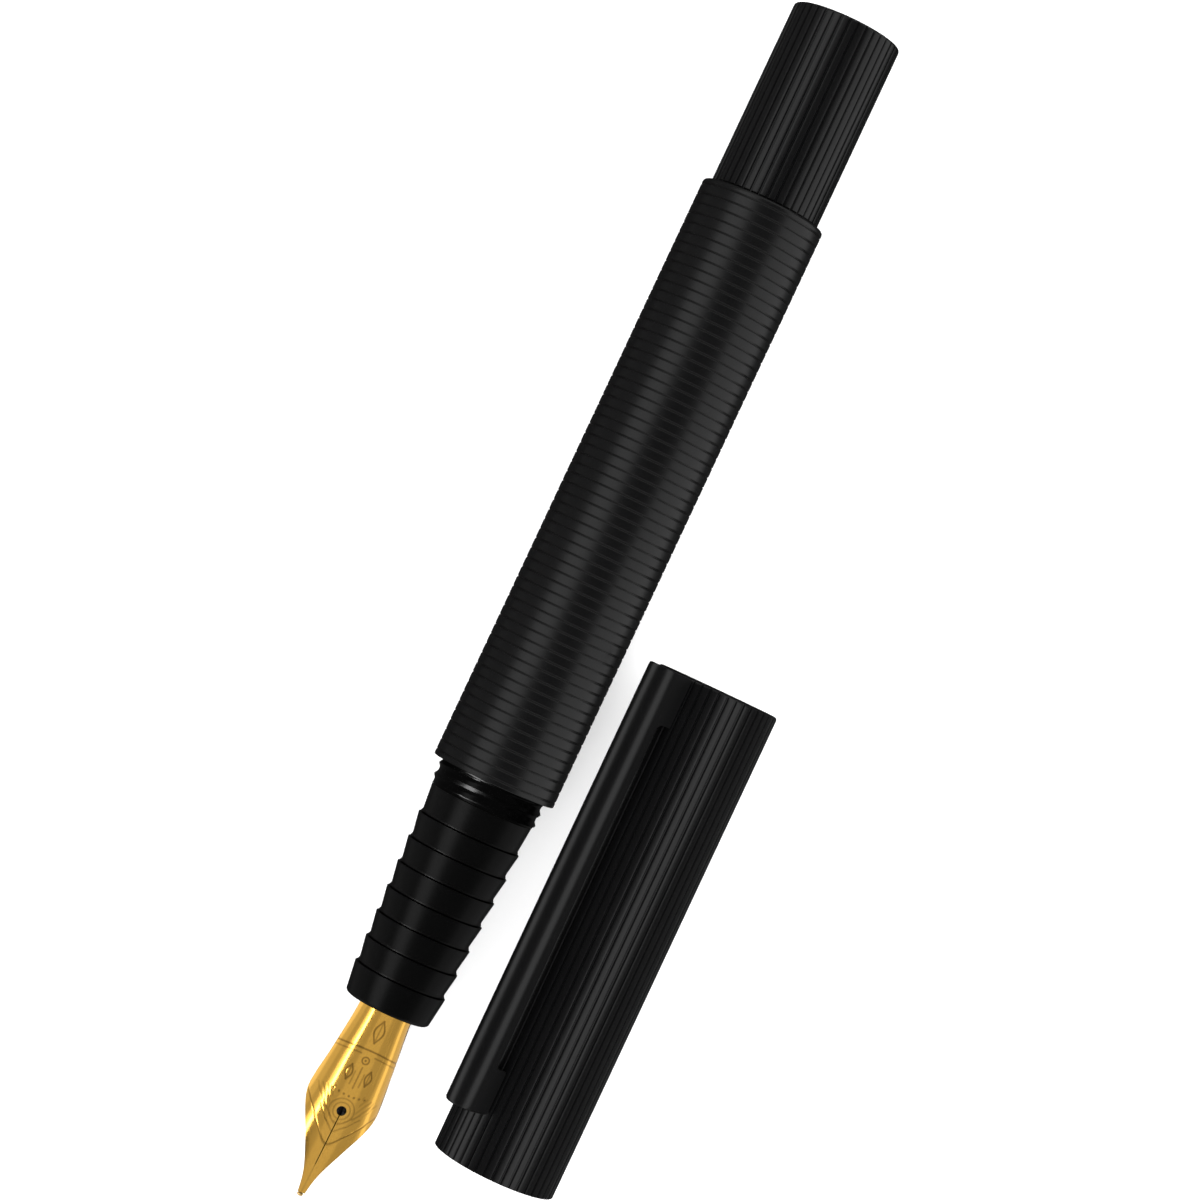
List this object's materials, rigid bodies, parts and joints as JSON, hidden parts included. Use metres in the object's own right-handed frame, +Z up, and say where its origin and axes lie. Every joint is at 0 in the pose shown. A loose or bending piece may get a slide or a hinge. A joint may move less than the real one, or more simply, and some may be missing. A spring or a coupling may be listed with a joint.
{
  "type": "fountain pen",
  "caption": "Piston-filling fountain pen, uncapped: grooved barrel, fluted turning tail, stepped grip and gold-coloured nib, with a fluted screw cap and bar clip lying beside it.",
  "frame": {"origin": "centre of the underside of the whole object's box, on the surface that the pen and the cap lie on", "axes": "+X along the pen from the nib to the tail, +Z up and out of the nib's top face; the cap lies at -Y with its mouth towards the nib"},
  "size_m": [0.129, 0.0296, 0.0149],
  "materials": {
    "black_metal": "black anodised, fine satin",
    "grip_metal": "black anodised, deeper and more matt than the barrel",
    "nib_gold": "polished gold plate with fine engraved ornament",
    "tip_alloy": "polished hard alloy",
    "gloss_black_plastic": "glossy",
    "black_plastic": "matt moulded",
    "clear_plastic": "clear",
    "silicone": "translucent, satin",
    "black_rubber": "matt",
    "steel": "drawn wire"
  },
  "bodies": {
    "pen": {"barrel": "black_metal", "grip_sleeve": "grip_metal", "inner_section": "gloss_black_plastic", "section_o_ring": "black_rubber", "ink_chamber": "clear_plastic", "piston_guide": "black_plastic", "knob_o_ring": "black_rubber", "nib": "nib_gold", "nib_tipping": "tip_alloy", "feed": "black_plastic", "nib_collar": "black_plastic"},
    "knob": {"turning_knob": "black_metal", "spindle": "black_plastic"},
    "piston": {"piston_rod": "black_plastic", "piston_seal": "silicone"},
    "cap": {"cap_shell": "black_metal", "cap_thread_insert": "gloss_black_plastic", "inner_cap": "black_plastic", "cap_head": "black_metal", "clip_pin": "steel", "clip_spring": "steel"},
    "clip": {"clip": "black_metal"}
  },
  "joints": [
    {"name": "knob_turn", "type": "hinge", "parent": "pen", "child": "knob", "pos_m": [0.04487, 0.00825, 0.00656], "axis": [1, 0, 0], "range_deg": [0, 1620]},
    {"name": "piston_travel", "type": "slide", "parent": "pen", "child": "piston", "axis": [-1, 0, 0], "range_m": [0, 0.027]},
    {"name": "cap_swing", "type": "hinge", "parent": "pen", "child": "cap", "pos_m": [-0.06078, -0.00003, 0.0065], "axis": [0, 0, -1], "range_deg": [0, 180]},
    {"name": "clip_lift", "type": "hinge", "parent": "cap", "child": "clip", "pos_m": [-0.00392, -0.005, 0.01025], "axis": [0, 0.749, -0.6626], "range_deg": [0, 5], "stiffness_Nm_per_rad": 0.1, "springref_deg": -8.59}
  ],
  "couplings": [
    {"joint": "piston_travel", "follows": "knob_turn", "m_per_rad": 0.000954}
  ]
}
